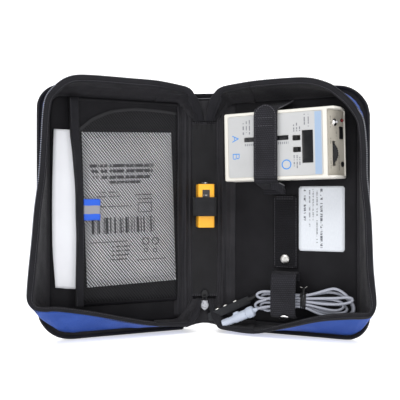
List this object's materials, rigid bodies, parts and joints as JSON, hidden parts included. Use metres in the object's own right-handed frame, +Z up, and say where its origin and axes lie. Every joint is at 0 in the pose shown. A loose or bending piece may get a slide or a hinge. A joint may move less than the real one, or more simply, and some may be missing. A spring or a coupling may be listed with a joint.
{
  "type": "surface electromyography unit",
  "caption": "Handheld surface EMG biofeedback unit in its open zip case with lead, spare battery and electrode pouch; the case folds shut.",
  "frame": {"origin": "centre of the bounding box at the surface it stands on", "axes": "+Z up, +X across the open case towards the half that holds the unit, the open side faces -Y"},
  "size_m": [0.3436, 0.1006, 0.2695],
  "materials": {
    "black_nylon": "woven, matt",
    "blue_nylon": "woven, slight sheen",
    "lining": "smooth coated nylon",
    "mesh": "open knitted net",
    "webbing": "ribbed webbing",
    "ribbon": "striped ribbon",
    "paper": "smooth",
    "foil": "foil laminate, satin",
    "case_plastic": "fine texture",
    "panel_plastic": "satin",
    "label_film": "satin film",
    "window": "gloss",
    "black_plastic": "satin",
    "snap_metal": "bright",
    "steel": "satin",
    "led": "clear red",
    "board": "solder mask",
    "battery_jacket": "printed, semi-gloss",
    "lead_grey": "matt",
    "plug_grey": "satin"
  },
  "bodies": {
    "spine": {"spine_board": "black_nylon", "spine_lining": "lining", "spine_top_fold": "black_nylon", "spine_bottom_fold": "black_nylon", "battery_loop": "webbing", "zip_slider": "black_plastic"},
    "left_half": {"left_cover": "black_nylon", "left_lining": "lining", "left_welt": "black_nylon", "left_gusset": "blue_nylon", "left_zip_band": "black_nylon", "pocket_panel": "black_nylon", "mesh_pocket": "mesh", "pocket_binding": "black_nylon", "fabric_tab": "ribbon"},
    "right_half": {"right_cover": "black_nylon", "right_lining": "lining", "right_welt": "black_nylon", "right_gusset": "blue_nylon", "right_zip_band": "black_nylon", "card_label": "paper", "webbing_strip": "webbing", "snap_stud": "snap_metal", "unit_strap_anchor": "webbing", "lead_hank": "lead_grey", "lead_tie": "black_plastic", "lead_plug": "plug_grey", "plug_collar": "plug_grey"},
    "unit": {"unit_front_shell": "case_plastic", "unit_rear_shell": "case_plastic", "unit_label": "label_film", "display_window": "window", "bargraph_window": "window", "end_panel": "panel_plastic", "potentiometer": "steel", "toggle_bushing": "snap_metal", "power_led": "led", "input_jack": "black_plastic", "earphone_jack": "black_plastic", "circuit_board": "board", "unit_battery": "battery_jacket", "unit_battery_terminals": "steel", "case_screw": "steel"},
    "thumbwheel": {"thumbwheel": "black_plastic"},
    "slide_switch_a": {"slide_switch_a": "black_plastic"},
    "slide_switch_b": {"slide_switch_b": "black_plastic"},
    "toggle_lever": {"toggle_lever": "snap_metal"},
    "battery_door": {"battery_door": "case_plastic"},
    "unit_strap": {"unit_strap": "webbing"},
    "lead_strap": {"lead_strap": "webbing", "lead_strap_snap": "snap_metal"},
    "lead_block": {"lead_block": "black_plastic", "lead_snap_1": "snap_metal", "lead_snap_2": "snap_metal", "lead_snap_3": "snap_metal"},
    "spare_battery": {"spare_battery": "battery_jacket", "spare_battery_terminals": "steel"},
    "booklet": {"booklet": "paper"},
    "electrode_pouch": {"electrode_pouch": "foil"},
    "zip_pull": {"zip_pull": "steel"}
  },
  "joints": [
    {"name": "left_half_hinge", "type": "hinge", "parent": "spine", "child": "left_half", "pos_m": [-0.022, 0.04627, 0.1315], "axis": [0, 0, 1], "range_deg": [-22, 64]},
    {"name": "right_half_hinge", "type": "hinge", "parent": "spine", "child": "right_half", "pos_m": [0.022, 0.04627, 0.1315], "axis": [0, 0, -1], "range_deg": [-22, 64]},
    {"name": "unit_slide", "type": "slide", "parent": "right_half", "child": "unit", "axis": [-0.9098, 0.4146, -0.0192], "range_m": [-0.0055, 0]},
    {"name": "unit_strap_open", "type": "hinge", "parent": "right_half", "child": "unit_strap", "pos_m": [0.06114, -0.00902, 0.1626], "axis": [-0.9272, 0.3746, 0], "range_deg": [-110, 0]},
    {"name": "lead_strap_open", "type": "hinge", "parent": "right_half", "child": "lead_strap", "pos_m": [0.08781, 0.01321, 0.0666], "axis": [0.9272, -0.3746, 0], "range_deg": [-65, 0]},
    {"name": "lead_block_tuck", "type": "slide", "parent": "right_half", "child": "lead_block", "axis": [0.8572, -0.2184, 0.4664], "range_m": [-0.0064, 0.0182]},
    {"name": "spare_battery_slide", "type": "slide", "parent": "spine", "child": "spare_battery", "axis": [0, 0, 1], "range_m": [-0.04, 0]},
    {"name": "zip_pull_swing", "type": "hinge", "parent": "spine", "child": "zip_pull", "pos_m": [0, 0.03807, 0.0362], "axis": [1, 0, 0], "range_deg": [-100, 0]},
    {"name": "booklet_slide", "type": "slide", "parent": "left_half", "child": "booklet", "axis": [0, 0, -1], "range_m": [-0.03, 0]},
    {"name": "pouch_slide", "type": "slide", "parent": "left_half", "child": "electrode_pouch", "axis": [0, 0, -1], "range_m": [-0.036, 0]},
    {"name": "thumbwheel_turn", "type": "hinge", "parent": "unit", "child": "thumbwheel", "pos_m": [0.11894, -0.02319, 0.19137], "axis": [-0.4147, -0.91, 0], "range_deg": [-270, 0]},
    {"name": "slide_switch_a_travel", "type": "slide", "parent": "unit", "child": "slide_switch_a", "axis": [-0.9098, 0.4146, -0.0192], "range_m": [-0.0022, 0]},
    {"name": "slide_switch_b_travel", "type": "slide", "parent": "unit", "child": "slide_switch_b", "axis": [-0.9098, 0.4146, -0.0192], "range_m": [-0.0022, 0]},
    {"name": "toggle_throw", "type": "hinge", "parent": "unit", "child": "toggle_lever", "pos_m": [0.12707, -0.02655, 0.22215], "axis": [0.7453, 0.6667, 0.0077], "range_deg": [-12, 12]},
    {"name": "battery_door_slide", "type": "slide", "parent": "unit", "child": "battery_door", "axis": [-0.0175, 0.008, 0.9998], "range_m": [-0.03, 0]}
  ],
  "couplings": [
    {"joint": "lead_block_tuck", "follows": "right_half_hinge", "m_per_rad": 0.016115}
  ]
}
